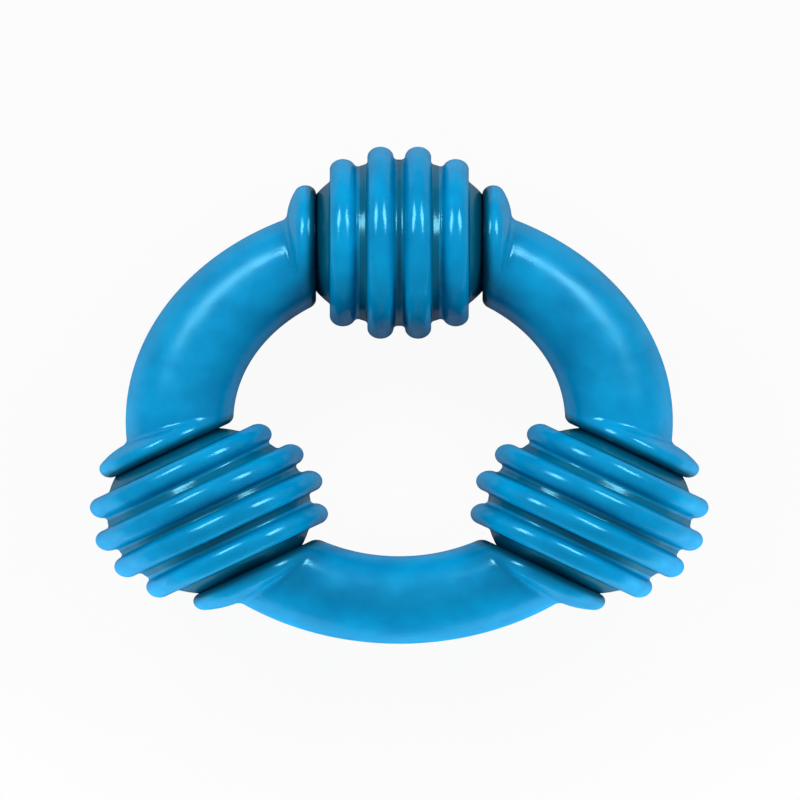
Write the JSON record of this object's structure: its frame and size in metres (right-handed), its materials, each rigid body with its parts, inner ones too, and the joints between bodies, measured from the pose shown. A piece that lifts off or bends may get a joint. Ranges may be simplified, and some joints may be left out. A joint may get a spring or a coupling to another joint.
{
  "type": "rubber chew toy",
  "caption": "Chew ring of smooth curved arms and ribbed ball knobs, moulded from glossy blue rubber.",
  "frame": {"origin": "centre of the ring, halfway through its thickness", "axes": "+Z square to the plane of the ring, +Y towards the top knob, +X to the right as the picture shows the ring"},
  "size_m": [0.1366, 0.135, 0.0522],
  "materials": {
    "blue_rubber": "glossy moulded rubber, saturated blue"
  },
  "bodies": {
    "root": {"arm_left": "blue_rubber", "arm_bottom": "blue_rubber", "arm_right": "blue_rubber", "ball_top": "blue_rubber", "ball_left": "blue_rubber", "ball_right": "blue_rubber", "rib_top_1": "blue_rubber", "rib_top_2": "blue_rubber", "rib_top_3": "blue_rubber", "rib_top_4": "blue_rubber", "rib_left_1": "blue_rubber", "rib_left_2": "blue_rubber", "rib_left_3": "blue_rubber", "rib_left_4": "blue_rubber", "rib_right_1": "blue_rubber", "rib_right_2": "blue_rubber", "rib_right_3": "blue_rubber", "rib_right_4": "blue_rubber", "collar_top_1": "blue_rubber", "collar_top_2": "blue_rubber", "collar_left_1": "blue_rubber", "collar_left_2": "blue_rubber", "collar_right_1": "blue_rubber", "collar_right_2": "blue_rubber"}
  },
  "joints": []
}
